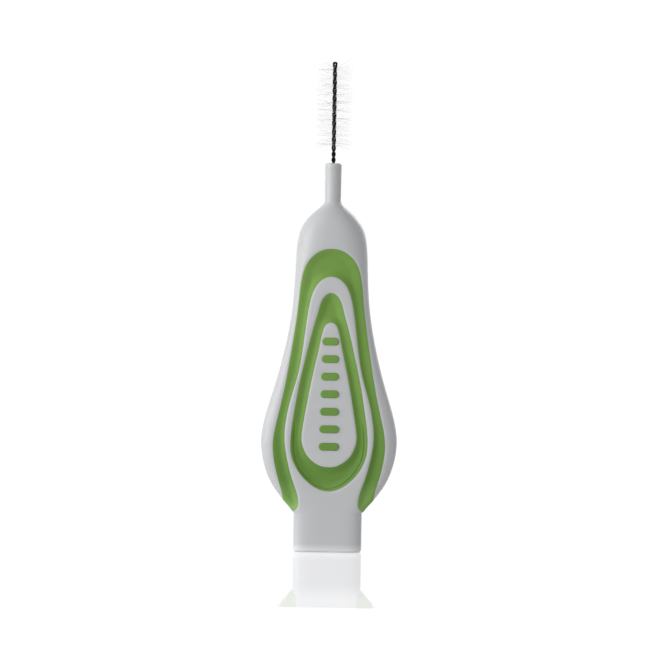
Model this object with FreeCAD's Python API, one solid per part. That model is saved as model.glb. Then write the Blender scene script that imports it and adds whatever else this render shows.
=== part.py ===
import FreeCAD, Part

import math
import os

# Interdental brush, standing on its foot. +Z runs up along the wire, +X is to the right of the front,
# and the front faces -Y. The origin is the middle of the foot's base. Lengths are in millimetres.

Vector = FreeCAD.Vector

# Foot: the flat tongue under the body, which a cap pushes onto
foot_width = 9.72
foot_depth = 4.8
foot_height = 5.5
foot_draft = 0.04
foot_base_round = 0.4
foot_squareness = 4.2

# Body: a flat drop, widest at the belly, then a slender flank up to the shoulder and a dome under the neck
belly_rise = 10.3
belly_width = 19.4
belly_depth = 6.2
belly_squareness = 2.6
flank_length = 28.1
shoulder_width = 9.9
shoulder_depth = 6.8
shoulder_squareness = 2.1
dome_length = 6.1

# Shape of the silhouette: (share of the zone's length, share of the way from the narrow to the wide end)
belly_rise_shares = ((0.0, 0.0), (0.2, 0.367), (0.45, 0.727), (0.74, 0.94), (1.0, 1.0))
flank_shares = ((0.11, 0.91), (0.26, 0.652), (0.46, 0.34), (0.67, 0.125), (0.86, 0.045), (1.0, 0.0))
dome_shares = ((0.35, 0.875), (0.6, 0.63), (0.78, 0.335), (0.9, 0.118), (0.97, 0.03), (1.03, 0.0))

# Neck: a thin tube that opens slightly towards its mouth and holds the wire in a blind bore
neck_length = 5.5
neck_base_diameter = 2.26
neck_mouth_diameter = 2.36
neck_mouth_round = 0.3
neck_root_shares = (0.12, 0.25)
round_squareness = 2.0

# Soft inlays: grooves of one depth, filled wall to wall up to a little below the rim
groove_depth = 0.7
grip_recess = 0.15
ring_rim_round = 0.14

# Outlines of the inlays: (share of the body's length above the foot, share of the half width there)
band_outside_shares = ((0.852, 0.0), (0.845, 0.315), (0.829, 0.527), (0.8, 0.71), (0.755, 0.822),
                       (0.68, 0.858), (0.596, 0.864), (0.5, 0.847), (0.396, 0.816), (0.306, 0.807),
                       (0.225, 0.83), (0.148, 0.838), (0.1, 0.857), (0.062, 0.92), (0.035, 1.04),
                       (0.0, 1.35))
band_inside_shares = ((0.762, 0.0), (0.752, 0.252), (0.732, 0.407), (0.705, 0.508), (0.666, 0.574),
                      (0.6, 0.61), (0.525, 0.613), (0.444, 0.624), (0.37, 0.662), (0.316, 0.67),
                      (0.267, 0.667), (0.219, 0.654), (0.171, 0.633), (0.123, 0.619), (0.078, 0.614),
                      (0.045, 0.659), (0.02, 0.782), (0.004, 1.0), (-0.01, 1.35))
ring_outside_shares = ((0.708, 0.0), (0.7, 0.15), (0.686, 0.238), (0.65, 0.327), (0.589, 0.434),
                       (0.518, 0.51), (0.428, 0.562), (0.332, 0.564), (0.267, 0.568), (0.226, 0.57),
                       (0.187, 0.563), (0.155, 0.526), (0.124, 0.454), (0.1, 0.352), (0.081, 0.21),
                       (0.072, 0.0))
ring_inside_shares = ((0.607, 0.0), (0.601, 0.115), (0.583, 0.183), (0.541, 0.244), (0.46, 0.326),
                      (0.38, 0.37), (0.316, 0.389), (0.267, 0.406), (0.235, 0.406), (0.206, 0.379),
                      (0.18, 0.322), (0.161, 0.235), (0.149, 0.13), (0.145, 0.0))

# Grip ribs: plain proud bars up the middle of the front panel, a little wider towards the belly
rib_count = 7
rib_height = 1.1
rib_pitch = 2.5
lowest_rib_width = 2.9
highest_rib_width = 2.4
lowest_rib_rise = 9.6
rib_groove_depth = 0.5
rib_proud = 0.2
rib_edge_round = 0.16

# Wire: one hairpin, its strands twisted closely in the neck and more openly where they hold the filaments
wire_diameter = 0.29
strand_gap = 0.02
exposed_wire_length = 14.5
anchor_length = 6.5
anchor_clearance = 0.02
bare_stem_length = 2.3
close_pitch = 1.6
open_pitch = 2.35
pitch_change_length = 0.8
hairpin_rise = 0.42

# Filaments: straight nylon threads across the axis, held at their middle between the two strands
filament_diameter = 0.08
filament_clearance = 0.01
filament_spacing = 0.1165
brush_diameter = 5.1
filaments_per_row = 10
filament_sides = 6

# Working values
cut_overrun = 2.0
section_spans = 16
mouth_spans = 4
halvings = 40
tangent_step = 0.001
contact_tolerance = 0.001

body_length = belly_rise + flank_length + dome_length
belly_level = foot_height + belly_rise
shoulder_level = belly_level + flank_length
neck_level = foot_height + body_length
mouth_level = neck_level + neck_length
tip_level = mouth_level + exposed_wire_length
fold_level = tip_level - wire_diameter / 2
helix_top = fold_level - hairpin_rise
anchor_level = mouth_level - anchor_length
brush_level = mouth_level + bare_stem_length
close_radius = (wire_diameter + strand_gap) / 2
open_radius = (wire_diameter + filament_diameter) / 2 + filament_clearance


def blend(low, high, share):
    return low + (high - low) * share


def ease(share):
    return share * share * (3 - 2 * share)


def body_stations():
    """Height, half width, half depth and squareness of the body's sections, from the foot upwards."""
    stations = []
    for rise_share, width_share in belly_rise_shares:
        stations.append((foot_height + belly_rise * rise_share,
                         blend(foot_width, belly_width, width_share) / 2,
                         blend(foot_depth, belly_depth, ease(rise_share)) / 2,
                         blend(foot_squareness, belly_squareness, ease(rise_share))))
    for rise_share, width_share in flank_shares:
        stations.append((belly_level + flank_length * rise_share,
                         blend(shoulder_width, belly_width, width_share) / 2,
                         blend(belly_depth, shoulder_depth, ease(rise_share)) / 2,
                         blend(belly_squareness, shoulder_squareness, rise_share)))
    for rise_share, width_share in dome_shares:
        stations.append((shoulder_level + dome_length * rise_share,
                         blend(neck_base_diameter, shoulder_width, width_share) / 2,
                         blend(neck_base_diameter, shoulder_depth, width_share) / 2,
                         blend(shoulder_squareness, round_squareness, rise_share)))
    for rise_share in neck_root_shares:
        radius = blend(neck_base_diameter, neck_mouth_diameter, rise_share) / 2
        stations.append((neck_level + neck_length * rise_share, radius, radius, round_squareness))
    return stations


def section(height, half_width, half_depth, squareness):
    """Rounded outline at one height: a front and a back curve that meet at the two sides."""
    edges = []
    for start_angle in (0, math.pi):
        points = []
        for step in range(section_spans + 1):
            angle = start_angle - math.pi * step / section_spans
            across = math.cos(angle)
            along = math.sin(angle)
            reach = (abs(across) ** squareness + abs(along) ** squareness) ** (-1 / squareness)
            points.append(Vector(half_width * reach * across, half_depth * reach * along, height))
        side_speed = math.pi * half_depth * math.cos(start_angle)
        curve = Part.BSplineCurve()
        curve.interpolate(Points=points,
                          Parameters=[step / section_spans for step in range(section_spans + 1)],
                          InitialTangent=Vector(0, -side_speed, 0),
                          FinalTangent=Vector(0, side_speed, 0))
        edges.append(curve.toShape())
    return Part.Wire(edges)


def body_form(margin):
    """The body's solid, with every section grown by a margin all round."""
    wires = []
    for height, half_width, half_depth, squareness in body_stations():
        wires.append(section(height, half_width + margin, half_depth + margin, squareness))
    return Part.makeLoft(wires, True)


def silhouette_curve():
    curve = Part.BSplineCurve()
    curve.interpolate([Vector(half_width, 0, height) for height, half_width, _, _ in body_stations()])
    return curve


silhouette = silhouette_curve()


def half_width_at(height):
    """Half width of the body at a height, read from the silhouette by halving its parameter range."""
    low = silhouette.FirstParameter
    high = silhouette.LastParameter
    for _ in range(halvings):
        middle = (low + high) / 2
        if silhouette.value(middle).z < height:
            low = middle
        else:
            high = middle
    return silhouette.value(low).x


def outline_points(shares):
    """Points of an inlay's edge on the right of the middle plane, from its top down."""
    points = []
    for rise_share, width_share in shares:
        height = foot_height + body_length * rise_share
        points.append(Vector(half_width_at(height) * width_share, 0, height))
    return points


def mirrored(points):
    return [Vector(-point.x, point.y, point.z) for point in points]


def arch_edge(shares):
    """An open edge over the middle plane, from the end of the left leg to the end of the right leg."""
    right = outline_points(shares)
    left = mirrored(right[1:])
    left.reverse()
    curve = Part.BSplineCurve()
    curve.interpolate(left + right)
    return curve.toShape()


def closed_edge(shares):
    """A closed edge round the middle plane, through its top and its bottom point."""
    right = outline_points(shares)
    left = mirrored(right[1:-1])
    left.reverse()
    curve = Part.BSplineCurve()
    curve.interpolate(Points=right + left, PeriodicFlag=True)
    return curve.toShape()


def slab(face, front, back):
    """A face in the middle plane, drawn out into a solid between two depths."""
    moved = face.translated(Vector(0, front, 0))
    return moved.extrude(Vector(0, back - front, 0))


def band_face():
    outside = arch_edge(band_outside_shares)
    inside = arch_edge(band_inside_shares)
    ends = []
    for parameter in (0, -1):
        ends.append(Part.makeLine(outside.Vertexes[parameter].Point, inside.Vertexes[parameter].Point))
    return Part.Face(Part.Wire(Part.__sortEdges__([outside, inside] + ends)))


def ring_face():
    outside = Part.Face(Part.Wire(closed_edge(ring_outside_shares)))
    inside = Part.Face(Part.Wire(closed_edge(ring_inside_shares)))
    return outside.cut(inside)


def rib_face(index):
    """A bar with round ends, lying across the middle plane."""
    share = index / (rib_count - 1)
    height = foot_height + lowest_rib_rise + rib_pitch * index
    radius = rib_height / 2
    reach = blend(lowest_rib_width, highest_rib_width, share) / 2 - radius
    right_low = Vector(reach, 0, height - radius)
    right_high = Vector(reach, 0, height + radius)
    left_low, left_high = mirrored([right_low, right_high])
    right_end = Vector(reach + radius, 0, height)
    left_end = Vector(-reach - radius, 0, height)
    edges = [Part.makeLine(left_low, right_low),
             Part.Arc(right_low, right_end, right_high).toShape(),
             Part.makeLine(right_high, left_high),
             Part.Arc(left_high, left_end, left_low).toShape()]
    return Part.Face(Part.Wire(edges))


def edges_on(shape, skins):
    """The edges of a shape whose middle lies on every one of some skins."""
    found = []
    for edge in shape.Edges:
        middle = Part.Vertex(edge.valueAt((edge.FirstParameter + edge.LastParameter) / 2))
        if all(skin.distToShape(middle)[0] < contact_tolerance for skin in skins):
            found.append(edge)
    return found


def foot_form():
    base = section(0, foot_width / 2 - foot_draft, foot_depth / 2 - foot_draft, foot_squareness)
    top = section(foot_height, foot_width / 2, foot_depth / 2, foot_squareness)
    foot = Part.makeLoft([base, top], True, True)
    base_edges = [edge for edge in foot.Edges if edge.BoundBox.ZMax < foot_base_round]
    return foot.makeFillet(foot_base_round, base_edges)


def neck_section(height, radius):
    return section(height, radius, radius, round_squareness)


def neck_form():
    """The straight tube above its root, and the quarter round of its mouth."""
    root_share = neck_root_shares[-1]
    root_radius = blend(neck_base_diameter, neck_mouth_diameter, root_share) / 2
    root_level = neck_level + neck_length * root_share
    round_level = mouth_level - neck_mouth_round
    flat_radius = neck_mouth_diameter / 2 - neck_mouth_round
    rims = []
    for step in range(mouth_spans + 1):
        angle = math.pi / 2 * step / mouth_spans
        rims.append(neck_section(round_level + neck_mouth_round * math.sin(angle),
                                 flat_radius + neck_mouth_round * math.cos(angle)))
    tube = Part.makeLoft([neck_section(root_level, root_radius), rims[0]], True, True)
    return tube.fuse(Part.makeLoft(rims, True))


def wire_bore():
    radius = close_radius + wire_diameter / 2 + anchor_clearance
    return Part.makeCylinder(radius, anchor_length + cut_overrun, Vector(0, 0, anchor_level))


def open_share(height):
    """How far the twist has gone from its close to its open pitch at a height."""
    share = (height - brush_level) / pitch_change_length + 1
    return min(max(share, 0), 1)


def twist_angle(height):
    """Turn of the strands about the axis, zero at the top, where the hairpin starts."""
    close_rate = 2 * math.pi / close_pitch
    open_rate = 2 * math.pi / open_pitch

    def turned(level):
        start = brush_level - pitch_change_length
        share = open_share(level)
        closeness = min(level - start, 0) + pitch_change_length * (share - share * share / 2)
        return open_rate * (level - start) + (close_rate - open_rate) * closeness

    return turned(height) - turned(helix_top)


def strand_point(height, start_angle):
    radius = blend(close_radius, open_radius, open_share(height))
    angle = start_angle + twist_angle(height)
    return Vector(radius * math.cos(angle), radius * math.sin(angle), height)


def strand_tangent(height, start_angle):
    above = strand_point(height + tangent_step, start_angle)
    below = strand_point(height - tangent_step, start_angle)
    return (above - below).normalize()


def strand_levels():
    """Heights about a quarter turn apart, from the top of the twist down to the cut ends."""
    cut_level = anchor_level + wire_diameter / 2
    levels = [helix_top]
    while levels[-1] > cut_level:
        pitch = blend(close_pitch, open_pitch, open_share(levels[-1]))
        levels.append(levels[-1] - pitch / 4)
    levels[-1] = cut_level
    return levels


def arc_from(start, tangent, end):
    """The arc that leaves a point along a tangent and ends at another point."""
    chord = end - start
    half_turn = tangent.getAngle(chord)
    along = Vector(chord).normalize()
    side = (tangent - along * tangent.dot(along)).normalize()
    middle = start + chord / 2 + side * (chord.Length / 2 * math.tan(half_turn / 2))
    return Part.Arc(start, middle, end).toShape()


def biarc(start, start_tangent, end, end_tangent):
    """Two arcs that join two points along their tangents and meet smoothly between them."""
    chord = end - start
    reach = chord.dot(start_tangent + end_tangent)
    spread = 2 * (1 - start_tangent.dot(end_tangent))
    arm = (math.sqrt(reach * reach + spread * chord.dot(chord)) - reach) / spread
    joint = (start + end + (start_tangent - end_tangent) * arm) / 2
    joint_tangent = (joint - start - start_tangent * arm).normalize()
    return [arc_from(start, start_tangent, joint), arc_from(joint, joint_tangent, end)]


def hairpin_path():
    """Up one strand, round the fold at the tip and down the other strand."""
    levels = strand_levels()
    rising = [(strand_point(level, 0), strand_tangent(level, 0)) for level in reversed(levels)]
    fold = [(Vector(0, 0, fold_level), Vector(-1, 0, 0))]
    falling = [(strand_point(level, math.pi), strand_tangent(level, math.pi) * -1) for level in levels]
    places = rising + fold + falling
    edges = []
    for (start, start_tangent), (end, end_tangent) in zip(places, places[1:]):
        edges.extend(biarc(start, start_tangent, end, end_tangent))
    return Part.Wire(edges), places[0]


def twisted_wire():
    path, (start, tangent) = hairpin_path()
    profile = Part.Wire(Part.Circle(start, tangent, wire_diameter / 2).toShape())
    wire = path.makePipeShell([profile], True, False)
    expected = math.pi * wire_diameter * wire_diameter / 4 * path.Length
    print("wire length", round(path.Length, 2), "volume over expected", round(wire.Volume / expected, 4))
    return wire


def filament(height):
    """One six-sided thread through the axis, square to the line between the two strands."""
    angle = twist_angle(height) + math.pi / 2
    along = Vector(math.cos(angle), math.sin(angle), 0)
    across = Vector(-along.y, along.x, 0)
    radius = filament_diameter / 2
    corners = []
    for side in range(filament_sides):
        turn = 2 * math.pi * side / filament_sides
        corners.append(Vector(0, 0, height + radius * math.cos(turn)) + across * (radius * math.sin(turn))
                       - along * (brush_diameter / 2))
    corners.append(corners[0])
    return Part.Face(Part.makePolygon(corners)).extrude(along * brush_diameter)


def bristle_rows():
    """All filaments, in groups of neighbours along the wire."""
    usable = helix_top - brush_level - filament_diameter
    count = int(usable / filament_spacing) + 1
    highest = helix_top - filament_diameter / 2
    threads = [filament(highest - filament_spacing * index) for index in range(count)]
    rows = [threads[first:first + filaments_per_row] for first in range(0, count, filaments_per_row)]
    return [Part.makeCompound(row) for row in rows]


def at_back(shape):
    """The same shape on the back of the handle."""
    return shape.mirror(Vector(0, 0, 0), Vector(0, 1, 0))


def inlay_in(face, floor, top):
    """The pocket for a front inlay, open to the front, and the inlay that fills it from floor to top."""
    pocket = slab(face, -belly_width, 0).cut(floor)
    return pocket, pocket.common(top)


def handle():
    """The hard core with all its pockets, and the soft inlays that fill them."""
    groove_floor = body_form(-groove_depth)
    grip_top = body_form(-grip_recess)
    rib_floor = body_form(-rib_groove_depth)
    rib_top = body_form(rib_proud)
    body = body_form(0)
    core = body.fuse([foot_form(), neck_form()]).removeSplitter()
    band_pocket, band = inlay_in(band_face(), groove_floor, grip_top)
    ring_pocket, ring = inlay_in(ring_face(), groove_floor, grip_top)
    for pocket in (ring_pocket, at_back(ring_pocket)):
        core = core.cut(pocket)
        core = core.makeFillet(ring_rim_round, edges_on(core, (body.Shells[0], pocket)))
    pockets = [band_pocket, at_back(band_pocket)]
    pieces = {"outer_grip_band": band.fuse(at_back(band)).removeSplitter(),
              "front_grip_ring": ring,
              "back_grip_ring": at_back(ring)}
    for index in range(rib_count):
        rib_pocket, rib = inlay_in(rib_face(index), rib_floor, rib_top)
        pockets.append(rib_pocket)
        proud_edges = edges_on(rib, [rib_top.Shells[0]])
        pieces["grip_rib_" + str(index + 1)] = rib.makeFillet(rib_edge_round, proud_edges)
    for cut in pockets + [wire_bore()]:
        core = core.cut(cut)
    pieces["handle_core"] = core
    return pieces


def brush():
    """The twisted wire and the filaments that it holds."""
    pieces = {"twisted_wire": twisted_wire()}
    for index, row in enumerate(bristle_rows()):
        pieces["bristle_row_%02d" % (index + 1)] = row
    return pieces


os.makedirs("parts", exist_ok=True)
for name, shape in {**handle(), **brush()}.items():
    shape.exportStep("parts/" + name + ".step")
    print(name, "solids", len(shape.Solids), "volume", round(shape.Volume, 3), "valid", shape.isValid())
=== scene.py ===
import math
import random

import bmesh
import bpy
import numpy as np
from mathutils import Matrix, Vector, kdtree


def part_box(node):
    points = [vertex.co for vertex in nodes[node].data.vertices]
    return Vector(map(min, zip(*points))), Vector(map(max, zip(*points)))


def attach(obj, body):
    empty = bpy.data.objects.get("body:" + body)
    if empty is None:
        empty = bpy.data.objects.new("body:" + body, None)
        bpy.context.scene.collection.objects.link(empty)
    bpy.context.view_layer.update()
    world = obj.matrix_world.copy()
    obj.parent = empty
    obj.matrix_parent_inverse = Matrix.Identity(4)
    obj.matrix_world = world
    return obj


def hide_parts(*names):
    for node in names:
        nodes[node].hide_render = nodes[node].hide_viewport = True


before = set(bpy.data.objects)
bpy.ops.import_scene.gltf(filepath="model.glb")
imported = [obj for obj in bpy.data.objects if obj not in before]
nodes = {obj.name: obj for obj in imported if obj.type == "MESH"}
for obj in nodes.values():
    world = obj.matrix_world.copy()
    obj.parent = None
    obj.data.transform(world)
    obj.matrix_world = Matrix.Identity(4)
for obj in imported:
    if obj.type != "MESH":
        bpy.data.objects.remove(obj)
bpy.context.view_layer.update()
coreLow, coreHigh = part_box("handle_core")
wireLow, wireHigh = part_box("twisted_wire")
print("frame loaded:", len(nodes), "nodes")

# Camera: where the foot's base and the wire's tip stand in the square photo, and how far off the lens is
photoView = {
    "framePixels": 665,
    "footPixel": (327.1, 551.5),
    "tipPixel": (335.2, 62.0),
    "distance": 0.62,
    "elevation": math.radians(1.2),
    "sensor": 36.0,
    "clipStart": 0.01,
}


def makeCamera(view):
    footX, footY = view["footPixel"]
    tipX, tipY = view["tipPixel"]
    lean = math.atan2(tipX - footX, footY - tipY)
    pixel = wireHigh.z / math.hypot(tipX - footX, footY - tipY)
    middle = view["framePixels"] / 2
    across, upward = middle - footX, footY - middle
    target = Vector((pixel * (across * math.cos(lean) - upward * math.sin(lean)), 0,
                     pixel * (across * math.sin(lean) + upward * math.cos(lean))))
    back = Vector((0, -math.cos(view["elevation"]), math.sin(view["elevation"])))
    right = Vector((1, 0, 0))
    up = back.cross(right)
    leaningRight = right * math.cos(lean) + up * math.sin(lean)
    leaningUp = up * math.cos(lean) - right * math.sin(lean)
    turn = Matrix((leaningRight, leaningUp, back)).transposed().to_4x4()
    lens = bpy.data.cameras.new("photoCamera")
    lens.sensor_width = view["sensor"]
    lens.lens = view["sensor"] * view["distance"] / (pixel * view["framePixels"])
    lens.clip_start = view["clipStart"]
    camera = bpy.data.objects.new("photoCamera", lens)
    camera.matrix_world = Matrix.Translation(target + back * view["distance"]) @ turn
    bpy.context.scene.collection.objects.link(camera)
    bpy.context.scene.camera = camera
    return target


cameraTarget = makeCamera(photoView)
print("camera placed")


# Material helpers
def newMaterial(name):
    material = bpy.data.materials.new(name)
    material.use_nodes = True
    tree = material.node_tree
    return material, tree, tree.nodes["Principled BSDF"]


def addNode(tree, kind, **values):
    node = tree.nodes.new(kind)
    for key, value in values.items():
        if key in node.inputs:
            node.inputs[key].default_value = value
        else:
            setattr(node, key, value)
    return node


def addNoise(tree, scale):
    place = addNode(tree, "ShaderNodeTexCoord")
    noise = addNode(tree, "ShaderNodeTexNoise", Scale=scale)
    tree.links.new(place.outputs["Object"], noise.inputs["Vector"])
    return noise.outputs["Fac"]


def addMix(tree, factor, low, high):
    mix = addNode(tree, "ShaderNodeMix", data_type="RGBA")
    tree.links.new(factor, mix.inputs["Factor"])
    mix.inputs["A"].default_value = (*low, 1)
    mix.inputs["B"].default_value = (*high, 1)
    return mix.outputs["Result"]


def addRange(tree, value, fromLow, fromHigh, toLow, toHigh):
    span = addNode(tree, "ShaderNodeMapRange")
    span.inputs["From Min"].default_value = fromLow
    span.inputs["From Max"].default_value = fromHigh
    span.inputs["To Min"].default_value = toLow
    span.inputs["To Max"].default_value = toHigh
    tree.links.new(value, span.inputs["Value"])
    return span.outputs["Result"]


def addHeight(tree):
    place = addNode(tree, "ShaderNodeTexCoord")
    parts = addNode(tree, "ShaderNodeSeparateXYZ")
    tree.links.new(place.outputs["Object"], parts.inputs["Vector"])
    return parts.outputs["Z"]


def addBump(tree, height, strength, distance):
    bump = addNode(tree, "ShaderNodeBump", Strength=strength, Distance=distance)
    tree.links.new(height, bump.inputs["Height"])
    return bump.outputs["Normal"]


corePlasticLook = {
    "paleColour": (0.525, 0.533, 0.545),
    "deepColour": (0.485, 0.495, 0.505),
    "roughness": 0.4,
    "cloudScale": 160.0,
    "grainScale": 5200.0,
    "grainHeight": 0.000004,
    "grainStrength": 0.35,
    "paintedFloorLight": (0.77, 0.775, 0.775),  # painted light from the white floor, palest at the foot's lowest edge, fading out up to the rise
    "paintedFloorLightRise": 0.0012,
    "glow": 0.12,
    "glowDepth": 0.0006,
    "glowSpread": (1.0, 1.0, 1.0),
}


def corePlastic(look):
    material, tree, surface = newMaterial("corePlastic")
    colour = addMix(tree, addNoise(tree, look["cloudScale"]), look["deepColour"], look["paleColour"])
    # Painted light: the foot paler towards its base, as if lit by the white floor below it
    upward = addRange(tree, addHeight(tree), 0, look["paintedFloorLightRise"], 0, 1)
    footWithPaintedLight = addMix(tree, upward, look["paintedFloorLight"], look["paleColour"])
    tree.links.new(colour, footWithPaintedLight.node.inputs["B"])
    tree.links.new(footWithPaintedLight, surface.inputs["Base Color"])
    grain = addBump(tree, addNoise(tree, look["grainScale"]), look["grainStrength"], look["grainHeight"])
    tree.links.new(grain, surface.inputs["Normal"])
    surface.inputs["Roughness"].default_value = look["roughness"]
    surface.inputs["Subsurface Weight"].default_value = look["glow"]
    surface.inputs["Subsurface Radius"].default_value = look["glowSpread"]
    surface.inputs["Subsurface Scale"].default_value = look["glowDepth"]
    return material


softGripLook = {
    "paleColour": (0.172, 0.322, 0.06),
    "deepColour": (0.15, 0.29, 0.05),
    "paintedBellyShade": (0.12, 0.246, 0.039),  # painted shade, darker round the belly, fading out over the shade levels
    "paintedLegLight": (0.215, 0.375, 0.095),  # painted light, lighter at the ends of the legs, fading out over the leg light levels
    "legLightLevels": (0.0062, 0.0105),
    "bellyShadeLevels": (0.011, 0.03),
    "roughness": 0.62,
    "gloss": 0.3,
    "cloudScale": 420.0,
    "grainScale": 7000.0,
    "grainHeight": 0.000008,
    "grainStrength": 0.4,
}


def softGrip(look):
    material, tree, surface = newMaterial("softGrip")
    colour = addMix(tree, addNoise(tree, look["cloudScale"]), look["deepColour"], look["paleColour"])
    height = addHeight(tree)
    # Painted shade: the grip darker low round the belly
    aboveBelly = addRange(tree, height, *look["bellyShadeLevels"], 0, 1)
    bellyShaded = addMix(tree, aboveBelly, look["paintedBellyShade"], look["paleColour"])
    tree.links.new(colour, bellyShaded.node.inputs["B"])
    # Painted light: the lower ends of the legs lighter, as if lit from the floor and the left
    aboveLegs = addRange(tree, height, *look["legLightLevels"], 0, 1)
    legsLit = addMix(tree, aboveLegs, look["paintedLegLight"], look["paleColour"])
    tree.links.new(bellyShaded, legsLit.node.inputs["B"])
    tree.links.new(legsLit, surface.inputs["Base Color"])
    grain = addBump(tree, addNoise(tree, look["grainScale"]), look["grainStrength"], look["grainHeight"])
    tree.links.new(grain, surface.inputs["Normal"])
    surface.inputs["Roughness"].default_value = look["roughness"]
    surface.inputs["Specular IOR Level"].default_value = look["gloss"]
    return material


coatedWireLook = {
    "darkColour": (0.002, 0.0025, 0.003),
    "wornColour": (0.008, 0.008, 0.009),
    "roughness": 0.45,
    "gloss": 0.15,
    "wearScale": 2600.0,
}


def coatedWire(look):
    material, tree, surface = newMaterial("coatedWire")
    colour = addMix(tree, addNoise(tree, look["wearScale"]), look["darkColour"], look["wornColour"])
    tree.links.new(colour, surface.inputs["Base Color"])
    surface.inputs["Roughness"].default_value = look["roughness"]
    surface.inputs["Specular IOR Level"].default_value = look["gloss"]
    return material


bristleNylonLook = {
    "colour": (0.62, 0.64, 0.66),
    "paintedRootShade": (0.008, 0.009, 0.01),
    "roughness": 0.4,
    "clearness": 0.91,
    "rootReach": 0.00034,  # dark with painted shade, and solid, as far out as the wire
}


def bristleNylon(look):
    material, tree, surface = newMaterial("bristleNylon")
    surface.inputs["Roughness"].default_value = look["roughness"]
    place = addNode(tree, "ShaderNodeTexCoord")
    flat = addNode(tree, "ShaderNodeVectorMath", operation="MULTIPLY")
    flat.inputs[1].default_value = (1, 1, 0)
    tree.links.new(place.outputs["Object"], flat.inputs[0])
    reach = addNode(tree, "ShaderNodeVectorMath", operation="LENGTH")
    tree.links.new(flat.outputs["Vector"], reach.inputs[0])
    clearness = addRange(tree, reach.outputs["Value"], look["rootReach"] / 2, look["rootReach"], 0,
                         look["clearness"])
    # Painted shade: the threads dark near the axis, standing in for the wire's shadow on them
    outward = addRange(tree, reach.outputs["Value"], look["rootReach"] / 2, look["rootReach"], 0, 1)
    tree.links.new(addMix(tree, outward, look["paintedRootShade"], look["colour"]), surface.inputs["Base Color"])
    clear = addNode(tree, "ShaderNodeBsdfTransparent")
    mix = addNode(tree, "ShaderNodeMixShader")
    tree.links.new(clearness, mix.inputs["Fac"])
    tree.links.new(surface.outputs["BSDF"], mix.inputs[1])
    tree.links.new(clear.outputs["BSDF"], mix.inputs[2])
    tree.links.new(mix.outputs["Shader"], tree.nodes["Material Output"].inputs["Surface"])
    return material


coreMaterial = corePlastic(corePlasticLook)
gripMaterial = softGrip(softGripLook)
wireMaterial = coatedWire(coatedWireLook)
nylonMaterial = bristleNylon(bristleNylonLook)
print("materials made")


# Mesh helpers
meshForm = {
    "weldDistance": 1e-7,
    "sharpAngle": math.radians(38),
}


def addPiece(name, points, faces, material, slotName, *replaced):
    mesh = bpy.data.meshes.new(name)
    mesh.from_pydata([tuple(point) for point in points], [], faces)
    mesh.materials.append(material)
    piece = bpy.data.objects.new(name, mesh)
    bpy.context.scene.collection.objects.link(piece)
    shell = bmesh.new()
    shell.from_mesh(mesh)
    bmesh.ops.remove_doubles(shell, verts=shell.verts, dist=meshForm["weldDistance"])
    bmesh.ops.dissolve_degenerate(shell, edges=shell.edges, dist=meshForm["weldDistance"])
    bmesh.ops.recalc_face_normals(shell, faces=shell.faces)
    shell.to_mesh(mesh)
    shell.free()
    mesh.shade_smooth()
    mesh.set_sharp_from_angle(angle=meshForm["sharpAngle"])
    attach(piece, "root")
    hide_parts(*replaced)


# Quads between neighbouring rows of points, which close on themselves
def gridFaces(rows, columns):
    faces = []
    for row in range(rows - 1):
        for column in range(columns):
            after = (column + 1) % columns
            faces.append((row * columns + column, row * columns + after,
                          (row + 1) * columns + after, (row + 1) * columns + column))
    return faces


# A natural cubic spline through some values, read at some places
def splineThrough(knots, values, places):
    gaps = np.diff(knots)
    slopes = np.diff(values) / gaps
    system = np.eye(len(knots))
    right = np.zeros(len(knots))
    for k in range(1, len(knots) - 1):
        system[k, k - 1:k + 2] = gaps[k - 1], 2 * (gaps[k - 1] + gaps[k]), gaps[k]
        right[k] = 6 * (slopes[k] - slopes[k - 1])
    bend = np.linalg.solve(system, right)
    cell = np.clip(np.searchsorted(knots, places) - 1, 0, len(knots) - 2)
    high = (places - knots[cell]) / gaps[cell]
    low = 1 - high
    curved = (low ** 3 - low) * bend[cell] + (high ** 3 - high) * bend[cell + 1]
    return low * values[cell] + high * values[cell + 1] + curved * gaps[cell] ** 2 / 6


# Handle: a foot, a belly, a flank, a dome and a neck, with the relief of the grip pressed into both faces
handleForm = {
    "footWidth": 0.00972,
    "footDepth": 0.0048,
    "footHeight": 0.0055,
    "footRound": 0.0004,
    "footSquareness": 4.2,  # 2 is an ellipse, more is boxier
    "bellyRise": 0.0103,
    "bellyDepth": 0.0062,
    "bellySquareness": 4.4,
    "flankLength": 0.0281,
    "shoulderWidth": 0.0099,
    "flankHold": 4,  # keeps the belly's squareness up most of the flank
    "shoulderSquareness": 2.7,
    "domeLength": 0.0061,
    "roundSquareness": 2.0,
    "neckBase": 0.00226,
    "neckMouth": 0.00236,
    "mouthRound": 0.0003,
    "boreRadius": 0.00032,
    "boreDepth": 0.0065,
    "baseShares": (0.0, 0.5, 0.9, 1.0),
    "bellyRiseShares": ((0.0, 0.0), (0.2, 0.367), (0.45, 0.727), (0.74, 0.94), (1.0, 1.0)),
    "flankShares": ((0.11, 0.91), (0.26, 0.652), (0.46, 0.34), (0.67, 0.125), (0.86, 0.045), (1.0, 0.0)),
    "domeShares": ((0.35, 0.875), (0.6, 0.63), (0.78, 0.335), (0.9, 0.118), (0.97, 0.03), (1.03, 0.0)),
    "domeDepthShares": (0.95, 0.78, 0.47, 0.16, 0.035, 0.0),
    "neckShares": (0.12, 0.25),
    "rows": 270,
    "columns": 324,
    "angleSteps": 87480,  # fine steps round the belly while the columns are spaced
    "straightRows": 6,
    "roundRows": 9,
}
bellyWidth = coreHigh.x - coreLow.x
shoulderDepth = coreHigh.y - coreLow.y
mouthLevel = coreHigh.z
bodyLength = handleForm["bellyRise"] + handleForm["flankLength"] + handleForm["domeLength"]
neckLevel = handleForm["footHeight"] + bodyLength


def between(low, high, share):
    return low + (high - low) * share


def eased(share):
    return share * share * (3 - 2 * share)


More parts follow.
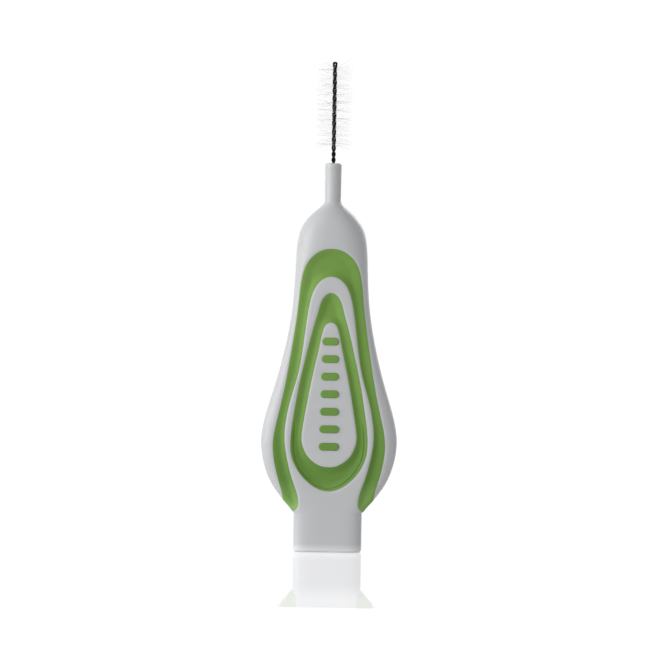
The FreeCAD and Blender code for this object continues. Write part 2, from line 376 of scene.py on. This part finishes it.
# Height, half width, half depth and squareness up the body, from the foot to the neck's root
def bodyStations(form):
    bellyLevel = form["footHeight"] + form["bellyRise"]
    shoulderLevel = bellyLevel + form["flankLength"]
    stations = []
    for rise, share in form["bellyRiseShares"]:
        stations.append((form["footHeight"] + form["bellyRise"] * rise,
                         between(form["footWidth"], bellyWidth, share) / 2,
                         between(form["footDepth"], form["bellyDepth"], eased(rise)) / 2,
                         between(form["footSquareness"], form["bellySquareness"], eased(rise))))
    for rise, share in form["flankShares"]:
        stations.append((bellyLevel + form["flankLength"] * rise,
                         between(form["shoulderWidth"], bellyWidth, share) / 2,
                         between(form["bellyDepth"], shoulderDepth, eased(rise)) / 2,
                         between(form["bellySquareness"], form["shoulderSquareness"],
                                 rise ** form["flankHold"])))
    for (rise, share), depthShare in zip(form["domeShares"], form["domeDepthShares"]):
        stations.append((shoulderLevel + form["domeLength"] * rise,
                         between(form["neckBase"], form["shoulderWidth"], share) / 2,
                         between(form["neckBase"], shoulderDepth, depthShare) / 2,
                         between(form["shoulderSquareness"], form["roundSquareness"], rise)))
    for rise in form["neckShares"]:
        radius = between(form["neckBase"], form["neckMouth"], rise) / 2
        stations.append((between(neckLevel, mouthLevel, rise), radius, radius, form["roundSquareness"]))
    return np.array(stations)


# Many closely spaced stations on smooth curves through the few given ones
def bodyProfile(form):
    stations = bodyStations(form)
    steps = np.hypot(np.diff(stations[:, 0]), np.diff(stations[:, 1]))
    knots = np.concatenate(([0], np.cumsum(steps)))
    places = np.linspace(0, knots[-1], form["rows"])
    return np.stack([splineThrough(knots, column, places) for column in stations.T], axis=1)


profile = bodyProfile(handleForm)


# Half width, half depth and squareness at some heights
def profileAt(levels):
    return [np.interp(levels, profile[:, 0], column) for column in profile.T[1:]]


# Inlay outlines: (share of the body's length above the foot, share of the half width there)
gripForm = {
    "bandOutside": ((0.849, 0.0), (0.842, 0.315), (0.826, 0.527), (0.798, 0.71), (0.755, 0.822),
                    (0.68, 0.858), (0.596, 0.864), (0.5, 0.847), (0.396, 0.816), (0.306, 0.807),
                    (0.225, 0.83), (0.148, 0.838), (0.1, 0.857), (0.062, 0.92), (0.035, 1.04), (0.0, 1.35)),
    "bandInside": ((0.76, 0.0), (0.75, 0.252), (0.731, 0.407), (0.705, 0.508), (0.666, 0.574),
                   (0.6, 0.61), (0.525, 0.613), (0.444, 0.624), (0.37, 0.662), (0.316, 0.67),
                   (0.267, 0.667), (0.219, 0.654), (0.171, 0.633), (0.123, 0.619), (0.078, 0.614),
                   (0.045, 0.659), (0.02, 0.782), (0.004, 1.0), (-0.01, 1.35)),
    "ringOutside": ((0.708, 0.0), (0.7, 0.15), (0.686, 0.238), (0.65, 0.327), (0.589, 0.434),
                    (0.518, 0.51), (0.428, 0.562), (0.332, 0.564), (0.267, 0.568), (0.226, 0.57),
                    (0.187, 0.563), (0.155, 0.526), (0.124, 0.454), (0.1, 0.352), (0.081, 0.21),
                    (0.072, 0.0)),
    "ringInside": ((0.613, 0.0), (0.607, 0.115), (0.588, 0.185), (0.541, 0.244), (0.46, 0.326),
                   (0.38, 0.37), (0.316, 0.389), (0.267, 0.406), (0.235, 0.406), (0.208, 0.376),
                   (0.184, 0.318), (0.166, 0.232), (0.154, 0.13), (0.15, 0.0)),
    "lengthSteps": 260,
    "bandSteps": 16,
    "ringSteps": 36,
    "wrapSteps": 16,
    "traceSteps": 8,  # finer steps along an outline while it is traced
    "searchSteps": 6,  # and while distances to it are found
    "valleyDepth": 0.00055,
    "valleyOutside": 0.0004,  # the slope starts this far outside an inlay's edge
    "valleyInside": 0.0012,  # and reaches its full depth this far inside
    "rimShares": (0.8, 1.0),  # of the half width, where the relief fades out
    "rimFade": 0.85,
    "crown": 0.00003,
    "edgeStep": 0.000014,
    "edgeRound": 0.00014,
    "skirt": 0.00016,
    "pocket": 0.0002,
    "pocketStart": 1.3,  # edge rounds inside an inlay's edge
    "creaseInset": 0.00034,  # fine line inside the ring's lower edge
    "creaseReach": 0.00008,
    "creaseDepth": 0.00016,
    "creaseLevels": (0.0165, 0.0195),
}


# Points across and up of an outline's right half, from its top down, evenly spaced along it
def outlineOf(shares, steps):
    rise, width = np.array(shares).T
    up = handleForm["footHeight"] + bodyLength * rise
    across = width * profileAt(up)[0]
    closed = width[-1] == 0
    mirrored = 3  # points of the left half that shape the curve's ends
    bottom = slice(-2, -2 - mirrored, -1) if closed else slice(0, 0)
    up = np.concatenate((up[mirrored:0:-1], up, up[bottom]))
    across = np.concatenate((-across[mirrored:0:-1], across, -across[bottom]))
    knots = np.concatenate(([0], np.cumsum(np.hypot(np.diff(up), np.diff(across)))))
    last = mirrored + len(shares) - 1
    fine = np.linspace(knots[mirrored], knots[last], steps * gripForm["traceSteps"])
    fineAcross = splineThrough(knots, across, fine)
    fineUp = splineThrough(knots, up, fine)
    onBody = fineAcross <= profileAt(fineUp)[0]
    end = len(fine) if closed else int(np.argmin(onBody))
    picked = np.linspace(0, end - 1, steps)
    return np.stack((np.interp(picked, np.arange(end), fineAcross[:end]),
                     np.interp(picked, np.arange(end), fineUp[:end])), axis=1)


outlines = {name: outlineOf(gripForm[name], gripForm["lengthSteps"])
            for name in ("bandOutside", "bandInside", "ringOutside", "ringInside")}


# Distance of points to an outline in the front view, negative inside it
def signedDistance(outline, across, up):
    fine = np.linspace(0, len(outline) - 1, len(outline) * gripForm["searchSteps"])
    dense = np.stack([np.interp(fine, np.arange(len(outline)), column) for column in outline.T], axis=1)
    tree = kdtree.KDTree(2 * len(dense))
    for index, (x, z) in enumerate(dense):
        tree.insert((x, 0, z), 2 * index)
        tree.insert((-x, 0, z), 2 * index + 1)
    tree.balance()
    reach = np.array([tree.find((x, 0, z))[2] for x, z in zip(across, up)])
    noEdge = -1  # above and below the outline
    edge = np.interp(up, outline[::-1, 1], outline[::-1, 0], left=noEdge, right=noEdge)
    return np.where(across < edge, -reach, reach)


# Distance to each inlay outline in the front view, negative inside it
def outlineDistances(across, up):
    across = np.abs(across)
    found = {name: signedDistance(outline, across, up) for name, outline in outlines.items()}
    openAtFoot = up < outlines["bandInside"][-1, 1]
    found["bandInside"] = np.where(openAtFoot, -np.abs(found["bandInside"]), found["bandInside"])
    lowCorner = (up < outlines["bandOutside"][-1, 1]) & ~openAtFoot
    found["bandOutside"] = np.where(lowCorner, -np.abs(found["bandOutside"]), found["bandOutside"])
    return found


# Share of the valley's depth at a distance from an inlay's edge
def valley(distance, form):
    reach = form["valleyOutside"] + form["valleyInside"]
    return eased(np.clip((form["valleyOutside"] - distance) / reach, 0, 1))


# How far the grip's face lies below the plain body, and the distance to the nearest inlay
def relief(across, up):
    found = outlineDistances(across, up)
    high, nearest = 1, np.inf
    for outside, inside in (("bandOutside", "bandInside"), ("ringOutside", "ringInside")):
        high = high * (1 - valley(found[outside], gripForm) * valley(-found[inside], gripForm))
        nearest = np.minimum(nearest, np.maximum(found[outside], -found[inside]))
    rimStart, rimEnd = gripForm["rimShares"]
    outward = (np.abs(across) / profileAt(up)[0] - rimStart) / (rimEnd - rimStart)
    shallow = 1 - gripForm["rimFade"] * eased(np.clip(outward, 0, 1))
    return gripForm["valleyDepth"] * shallow * (1 - high), nearest


# Points of a rounded cross-section, at angles from its right side
def sectionPoints(levels, halfWidth, halfDepth, squareness, angles):
    cosine, sine = np.cos(angles), np.sin(angles)
    reach = (np.abs(cosine) ** squareness + np.abs(sine) ** squareness) ** (-1 / squareness)
    across, deep = halfWidth * reach * cosine, -halfDepth * reach * sine
    return np.stack((across, deep, np.broadcast_to(levels, angles.shape)), axis=-1)


# Points of the body's skin, grown by a margin
def bodyPoints(levels, angles, margin):
    halfWidth, halfDepth, squareness = profileAt(levels)
    return sectionPoints(levels, halfWidth + margin, halfDepth + margin, squareness, angles)


# Angles that divide the belly's outline into even steps
def evenAngles(form):
    fine = np.linspace(0, 2 * math.pi, form["angleSteps"] + 1)
    belly = sectionPoints(0, bellyWidth / 2, form["bellyDepth"] / 2, form["bellySquareness"], fine)
    walked = np.concatenate(([0], np.cumsum(np.linalg.norm(np.diff(belly, axis=0), axis=1))))
    return np.interp(np.linspace(0, walked[-1], form["columns"], endpoint=False), walked, fine)


# Extra depth of the core under an inlay, so that the inlay alone shows there
def pocketDepth(distance, form):
    inward = -distance / form["edgeRound"] - form["pocketStart"]
    return form["pocket"] * eased(np.clip(inward, 0, 1))


def footRows(form, angles):
    halfWidth, halfDepth = form["footWidth"] / 2, form["footDepth"] / 2
    corner, square = form["footRound"], form["footSquareness"]
    rows = []
    for share in form["baseShares"]:
        width, depth = (halfWidth - corner) * share, (halfDepth - corner) * share
        rows.append(sectionPoints(0, width, depth, square, angles))
    for turn in np.linspace(0, math.pi / 2, form["roundRows"])[1:]:
        level = corner * (1 - math.cos(turn))
        inset = corner * (1 - math.sin(turn))
        rows.append(sectionPoints(level, halfWidth - inset, halfDepth - inset, square, angles))
    for level in np.linspace(corner, form["footHeight"], form["straightRows"])[1:-1]:
        rows.append(sectionPoints(level, halfWidth, halfDepth, square, angles))
    return rows


def bodyRows(angles):
    level, turn = np.meshgrid(profile[:, 0], angles, indexing="ij")
    plain = bodyPoints(level, turn, 0)
    depth, distance = relief(plain[..., 0].ravel(), plain[..., 2].ravel())
    margin = -(depth + pocketDepth(distance, gripForm)).reshape(level.shape)
    return list(bodyPoints(level, turn, margin))


# The neck's outside, its rounded mouth and the bore that holds the wire
def neckRows(form, angles):
    startLevel, startRadius = profile[-1, :2]
    mouthRadius, corner = form["neckMouth"] / 2, form["mouthRound"]
    circles = []
    for level in np.linspace(startLevel, mouthLevel - corner, form["straightRows"])[1:]:
        share = (level - startLevel) / (mouthLevel - startLevel)
        circles.append((level, between(startRadius, mouthRadius, share)))
    for turn in np.linspace(0, math.pi / 2, form["roundRows"])[1:]:
        level = mouthLevel - corner * (1 - math.sin(turn))
        circles.append((level, mouthRadius - corner * (1 - math.cos(turn))))
    circles.append((mouthLevel, form["boreRadius"]))
    circles.append((mouthLevel - form["boreDepth"], form["boreRadius"]))
    circles.append((mouthLevel - form["boreDepth"], 0))
    square = form["roundSquareness"]
    return [sectionPoints(level, radius, radius, square, angles) for level, radius in circles]


def handleCore(form):
    angles = evenAngles(form)
    rows = footRows(form, angles) + bodyRows(angles) + neckRows(form, angles)
    faces = gridFaces(len(rows), len(angles))
    addPiece("handleCore", np.concatenate(rows), faces, coreMaterial, "core_plastic", "handle_core")


handleCore(handleForm)
print("handle core built")


# Angle round the body, from its right side to the middle of its front, of a point seen from the front
def bodyAngle(across, up):
    halfWidth, _, squareness = profileAt(up)
    share = np.clip(across / halfWidth, 0, 1)
    return np.arctan2((1 - share ** squareness) ** (1 / squareness), share)


# Depth of the fine line inside the ring's outer edge, which runs round its lower part
def creaseOf(plain, form):
    across, up = plain[..., 0].ravel(), plain[..., 2].ravel()
    inset = -signedDistance(outlines["ringOutside"], across, up).reshape(plain.shape[:-1])
    low, high = form["creaseLevels"]
    lower = eased(np.clip((high - plain[..., 2]) / (high - low), 0, 1))
    return form["creaseDepth"] * lower * np.exp(-((inset - form["creaseInset"]) / form["creaseReach"]) ** 2)


# Points of an inlay's front right quarter, row by row along it, with a skirt sunk into the core
def inlayPatch(outside, inside, form, widthSteps):
    isRing = outside[-1, 0] <= 0
    turn = np.linspace(0, math.pi, widthSteps + 1)[None, :]
    share = (1 - np.cos(turn)) / 2  # closer steps at both edges
    up = between(outside[:, 1][:, None], inside[:, 1][:, None], share)
    angle = between(bodyAngle(*outside.T)[:, None], bodyAngle(*inside.T)[:, None], share)
    if not isRing:  # the band's ends go on round the body's sides
        wrap = np.linspace(1, 0, form["wrapSteps"] + 1)[1:, None]
        angle = np.concatenate((angle, angle[-1:] * wrap))
        up = np.concatenate((up, np.repeat(up[-1:], form["wrapSteps"], axis=0)))
    plain = bodyPoints(up, angle, 0)
    depth, distance = relief(plain[..., 0].ravel(), plain[..., 2].ravel())
    depth, distance = depth.reshape(up.shape), distance.reshape(up.shape)
    lift = form["edgeStep"] + form["crown"] * np.sqrt(np.clip(-distance / form["edgeRound"], 0, 1))
    if isRing:
        lift = lift - creaseOf(plain, form)
    top = bodyPoints(up, angle, lift - depth)
    low = bodyPoints(up, angle, -depth - form["skirt"])
    return np.concatenate((top, low[:, ::-1]), axis=1)


# One closed piece from patches that are mirrored to the left
def inlayPiece(name, patches, *replaced):
    points, faces = [], []
    for patch in patches:
        for side in (1, -1):
            rows, columns, _ = patch.shape
            start = sum(len(block) for block in points)
            points.append((patch * (side, 1, 1)).reshape(-1, 3))
            for face in gridFaces(rows, columns):
                faces.append(tuple(start + corner for corner in face))
    addPiece(name, np.concatenate(points), faces, gripMaterial, "soft_grip", *replaced)


bandPatch = inlayPatch(outlines["bandOutside"], outlines["bandInside"], gripForm, gripForm["bandSteps"])
ringPatch = inlayPatch(outlines["ringOutside"], outlines["ringInside"], gripForm, gripForm["ringSteps"])
atBack = np.array((1, -1, 1))
inlayPiece("outerGripBand", [bandPatch, bandPatch * atBack], "outer_grip_band")
inlayPiece("frontGripRing", [ringPatch], "front_grip_ring")
inlayPiece("backGripRing", [ringPatch * atBack], "back_grip_ring")
for name, node in nodes.items():
    if name.startswith("grip_rib"):
        node.data.materials.clear()
        node.data.materials.append(gripMaterial)
print("grip built")

# Wire: one hairpin, twisted closely above the neck and more openly where it holds the bristles
wireForm = {
    "diameter": 0.00031,
    "closeGap": 0.0,  # between the strands at the stem
    "filament": 0.00003,  # and where they hold the bristles
    "closePitch": 0.0016,
    "openPitch": 0.00235,
    "bareStem": 0.0023,
    "pitchChange": 0.0008,
    "hairpinRise": 0.00042,
    "foldPull": 2.2,  # hairpin rises, more makes a rounder loop
    "foldSteps": 13,
    "stepsUp": 900,
    "stepsAround": 14,
}
brushLevel = mouthLevel + wireForm["bareStem"]
helixTop = wireHigh.z - wireForm["diameter"] / 2 - wireForm["hairpinRise"]


def openShare(level):
    return min(max((level - brushLevel) / wireForm["pitchChange"] + 1, 0), 1)


def turned(level):
    start = brushLevel - wireForm["pitchChange"]
    share = openShare(level)
    closeness = min(level - start, 0) + wireForm["pitchChange"] * (share - share * share / 2)
    openRate = 2 * math.pi / wireForm["openPitch"]
    closeRate = 2 * math.pi / wireForm["closePitch"]
    return openRate * (level - start) + (closeRate - openRate) * closeness


def twistAngle(level):
    return turned(level) - turned(helixTop)


def strandPoint(level, startAngle):
    closeRadius = (wireForm["diameter"] + wireForm["closeGap"]) / 2
    openRadius = (wireForm["diameter"] + wireForm["filament"]) / 2
    radius = between(closeRadius, openRadius, openShare(level))
    angle = startAngle + twistAngle(level)
    return Vector((radius * math.cos(angle), radius * math.sin(angle), level))


# A point on a curve that leaves its start and reaches its end along given pulls
def pulledCurve(start, startPull, end, endPull, share):
    square, cube = share ** 2, share ** 3
    return (start * (2 * cube - 3 * square + 1) + startPull * (cube - 2 * square + share)
            + end * (3 * square - 2 * cube) + endPull * (cube - square))


# Up one strand, round the fold at the tip and down the other
def hairpinPath():
    levels = np.linspace(wireLow.z, helixTop, wireForm["stepsUp"])
    rising = [strandPoint(level, 0) for level in levels]
    falling = [strandPoint(level, math.pi) for level in reversed(levels)]
    apex = Vector((0, 0, wireHigh.z - wireForm["diameter"] / 2))
    pull = wireForm["foldPull"] * wireForm["hairpinRise"]
    leftward = Vector((-pull, 0, 0))
    risingPull = (rising[-1] - rising[-2]).normalized() * pull
    fallingPull = (falling[1] - falling[0]).normalized() * pull
    shares = np.linspace(0, 1, wireForm["foldSteps"])[1:-1]
    fold = [pulledCurve(rising[-1], risingPull, apex, leftward, share) for share in shares]
    fold.append(apex)
    fold.extend(pulledCurve(apex, leftward, falling[0], fallingPull, share) for share in shares)
    return rising + fold + falling


# Rings of points round a path, turned as little as possible from one to the next
def tubeRings(path, radii, sides):
    rings = []
    side = None
    for index, point in enumerate(path):
        ahead = path[min(index + 1, len(path) - 1)] - path[max(index - 1, 0)]
        ahead.normalize()
        side = ahead.orthogonal() if side is None else side - ahead * side.dot(ahead)
        side.normalize()
        other = ahead.cross(side)
        for step in range(sides):
            angle = 2 * math.pi * step / sides
            rings.append(point + (side * math.cos(angle) + other * math.sin(angle)) * radii[index])
    return rings


def tubeFaces(start, count, sides):
    faces = [tuple(start + corner for corner in face) for face in gridFaces(count, sides)]
    faces.append(tuple(range(start + sides - 1, start - 1, -1)))
    faces.append(tuple(range(start + (count - 1) * sides, start + count * sides)))
    return faces


def twistedWire(form):
    path = hairpinPath()
    points = tubeRings(path, [form["diameter"] / 2] * len(path), form["stepsAround"])
    faces = tubeFaces(0, len(path), form["stepsAround"])
    addPiece("twistedWire", points, faces, wireMaterial, "coated_wire", "twisted_wire")


twistedWire(wireForm)
print("wire built")

# Bristles: threads through the twist, each bent a little at random, in the CAD's rows
bristleForm = {
    "threadsPerRow": 20,
    "reach": 0.00255,
    "reachSpread": 0.0002,
    "rootRadius": 0.00004,
    "tipRadius": 0.000026,
    "tilt": math.radians(11),
    "swing": math.radians(5),
    "sag": 0.0002,
    "threadShares": (0.06, 0.3, 0.55, 0.78, 1.0),
    "sides": 5,
    "seed": 11,
}


# One thread from tip to tip through the axis, square to the line between the strands
def bristleThread(level, rng, form):
    angle = twistAngle(level) + math.pi / 2 + rng.gauss(0, form["swing"])
    path = []
    for side in (-1, 1):
        reach = form["reach"] + rng.uniform(-1, 1) * form["reachSpread"]
        rise = math.tan(rng.gauss(0, form["tilt"]))
        bend = rng.uniform(-1, 1) * form["sag"]
        half = []
        for share in form["threadShares"]:
            outward = side * reach * share
            upward = level + reach * share * rise + bend * share * share
            half.append(Vector((outward * math.cos(angle), outward * math.sin(angle), upward)))
        path = list(reversed(half)) if side < 0 else path + half
    return path


def bristleRow(name, form, rng):
    low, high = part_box(name)
    points, faces = [], []
    inner = 2 * len(form["threadShares"]) - 2
    radii = [form["tipRadius"]] + [form["rootRadius"]] * inner + [form["tipRadius"]]
    for thread in range(form["threadsPerRow"]):
        level = between(low.z + form["rootRadius"], high.z - form["rootRadius"],
                        (thread + 0.5) / form["threadsPerRow"])
        path = bristleThread(level, rng, form)
        faces.extend(tubeFaces(len(points), len(path), form["sides"]))
        points.extend(tubeRings(path, radii, form["sides"]))
    piece = "bristleRow" + name[-2:]
    addPiece(piece, points, faces, nylonMaterial, "bristle_nylon", name)


bristleRandom = random.Random(bristleForm["seed"])
for name in sorted(nodes):
    if name.startswith("bristle_row"):
        bristleRow(name, bristleForm, bristleRandom)
print("bristles built")

# Floor: white to the camera, with a faint mirror image that ends a short way in front of the foot
floorLook = {
    "reach": 3.0,
    "whiteness": 0.99,
    "roughness": 0.9,
    "shade": (0.09, 0.09, 0.09),  # what the camera sees of the shadow
    "bounce": (0.8, 0.8, 0.8),  # what lights the object from below
    "mirror": 0.42,
    "mirrorRoughness": 0.03,
    "mirrorTint": (0.95, 0.95, 1.0),
    "thinMirror": 0.27,
    "thinNear": 0.06,
    "thinFar": 0.085,
    "mirrorNear": 0.0957,
    "mirrorFar": 0.0967,
}


def makeFloor(look):
    reach = look["reach"]
    mesh = bpy.data.meshes.new("floor")
    corners = [(-reach, -reach, 0), (reach, -reach, 0), (reach, reach, 0), (-reach, reach, 0)]
    mesh.from_pydata(corners, [], [(0, 1, 2, 3)])
    floor = bpy.data.objects.new("floor", mesh)
    bpy.context.scene.collection.objects.link(floor)
    material, tree, surface = newMaterial("floorWhite")
    surface.inputs["Roughness"].default_value = look["roughness"]
    surface.inputs["Specular IOR Level"].default_value = 0
    surface.inputs["Emission Color"].default_value = (1, 1, 1, 1)
    path = addNode(tree, "ShaderNodeLightPath")
    shade = addMix(tree, path.outputs["Is Camera Ray"], look["bounce"], look["shade"])
    tree.links.new(shade, surface.inputs["Base Color"])
    glow = addNode(tree, "ShaderNodeMath", operation="MULTIPLY")
    glow.inputs[1].default_value = look["whiteness"]
    tree.links.new(path.outputs["Is Camera Ray"], glow.inputs[0])
    tree.links.new(glow.outputs["Value"], surface.inputs["Emission Strength"])
    place = addNode(tree, "ShaderNodeTexCoord")
    away = addNode(tree, "ShaderNodeVectorMath", operation="LENGTH")
    tree.links.new(place.outputs["Object"], away.inputs[0])
    levels = look["mirror"], look["thinMirror"]
    thinned = addRange(tree, away.outputs["Value"], look["thinNear"], look["thinFar"], *levels)
    cut = addRange(tree, away.outputs["Value"], look["mirrorNear"], look["mirrorFar"], 1, 0)
    fade = addNode(tree, "ShaderNodeMath", operation="MULTIPLY")
    tree.links.new(thinned, fade.inputs[0])
    tree.links.new(cut, fade.inputs[1])
    mirror = addNode(tree, "ShaderNodeBsdfGlossy", Roughness=look["mirrorRoughness"])
    mirror.inputs["Color"].default_value = (*look["mirrorTint"], 1)
    mix = addNode(tree, "ShaderNodeMixShader")
    tree.links.new(fade.outputs["Value"], mix.inputs["Fac"])
    tree.links.new(surface.outputs["BSDF"], mix.inputs[1])
    tree.links.new(mirror.outputs["BSDF"], mix.inputs[2])
    tree.links.new(mix.outputs["Shader"], tree.nodes["Material Output"].inputs["Surface"])
    mesh.materials.append(material)


makeFloor(floorLook)

# Surroundings: white to the camera, and a soft light from below and from the left
worldLook = {
    "brightSide": (-0.6, -0.15, -0.78),
    "brightLevel": 1.85,
    "dimLevel": 0.24,
    "facingRange": (-0.8, 0.8),  # from the dim side to the bright one
}


def makeWorld(look):
    world = bpy.data.worlds.new("studio")
    bpy.context.scene.world = world
    world.use_nodes = True
    tree = world.node_tree
    ambient = tree.nodes["Background"]
    ambient.inputs["Color"].default_value = (1, 1, 1, 1)
    place = addNode(tree, "ShaderNodeTexCoord")
    facing = addNode(tree, "ShaderNodeVectorMath", operation="DOT_PRODUCT")
    facing.inputs[1].default_value = look["brightSide"]
    tree.links.new(place.outputs["Generated"], facing.inputs[0])
    levels = look["dimLevel"], look["brightLevel"]
    soft = addRange(tree, facing.outputs["Value"], *look["facingRange"], *levels)
    tree.links.new(soft, ambient.inputs["Strength"])
    white = addNode(tree, "ShaderNodeBackground", Strength=1.0)
    white.inputs["Color"].default_value = (1, 1, 1, 1)
    path = addNode(tree, "ShaderNodeLightPath")
    mix = addNode(tree, "ShaderNodeMixShader")
    seen = path.outputs["Is Camera Ray"]
    for kind in ("Is Glossy Ray", "Is Transmission Ray"):
        either = addNode(tree, "ShaderNodeMath", operation="MAXIMUM")
        tree.links.new(seen, either.inputs[0])
        tree.links.new(path.outputs[kind], either.inputs[1])
        seen = either.outputs["Value"]
    tree.links.new(seen, mix.inputs["Fac"])
    tree.links.new(ambient.outputs["Background"], mix.inputs[1])
    tree.links.new(white.outputs["Background"], mix.inputs[2])
    tree.links.new(mix.outputs["Shader"], tree.nodes["World Output"].inputs["Surface"])


makeWorld(worldLook)

# Lamps: a level of 1 would light a white surface that faces the lamp to white
lampLook = {
    "keyPlace": (-0.5, -0.24, 0.14),
    "keySize": 0.4,
    "keyLevel": 0.5,
    "backPlace": (0.3, 0.55, 0.3),
    "backSize": 0.4,
    "backLevel": 0.22,
}


def makeLamp(name, place, size, level):
    lamp = bpy.data.lights.new(name, "AREA")
    lamp.shape = "DISK"
    lamp.size = size
    distance = (Vector(place) - cameraTarget).length
    lamp.energy = level * math.pi ** 2 * distance ** 2
    thing = bpy.data.objects.new(name, lamp)
    thing.location = place
    thing.rotation_euler = (Vector(place) - cameraTarget).to_track_quat("Z", "Y").to_euler()
    bpy.context.scene.collection.objects.link(thing)


makeLamp("keyLamp", lampLook["keyPlace"], lampLook["keySize"], lampLook["keyLevel"])
makeLamp("backLamp", lampLook["backPlace"], lampLook["backSize"], lampLook["backLevel"])
bpy.context.scene.view_settings.view_transform = "Standard"
print("stage lit")
